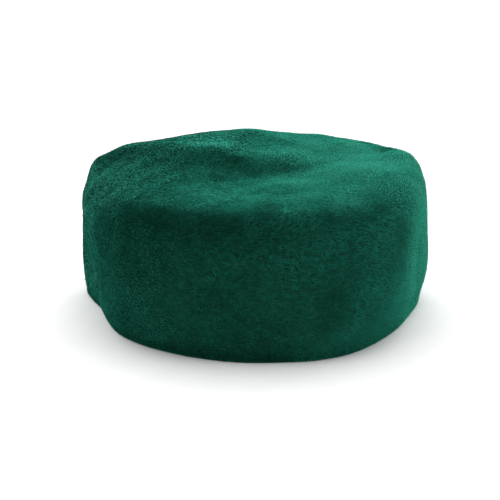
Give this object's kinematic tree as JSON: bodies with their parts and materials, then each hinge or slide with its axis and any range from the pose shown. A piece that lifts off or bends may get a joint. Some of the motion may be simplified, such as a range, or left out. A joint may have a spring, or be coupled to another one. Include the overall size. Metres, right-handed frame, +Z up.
{
  "type": "kufi cap",
  "caption": "Round brimless felt cap with a flat dented crown, a soft shoulder and an upright wall, open underneath and made in one blocked piece.",
  "frame": {"origin": "middle of the cap's footprint, on the surface it stands on", "axes": "+X across the head, from the wearer's right to the wearer's left; +Y towards the rear; +Z up; the cap's front faces -Y"},
  "size_m": [0.219, 0.1898, 0.1017],
  "materials": {
    "green_felt": "brushed wool felt, matt, with a short soft nap"
  },
  "bodies": {
    "root": {"felt_cap": "green_felt"}
  },
  "joints": []
}
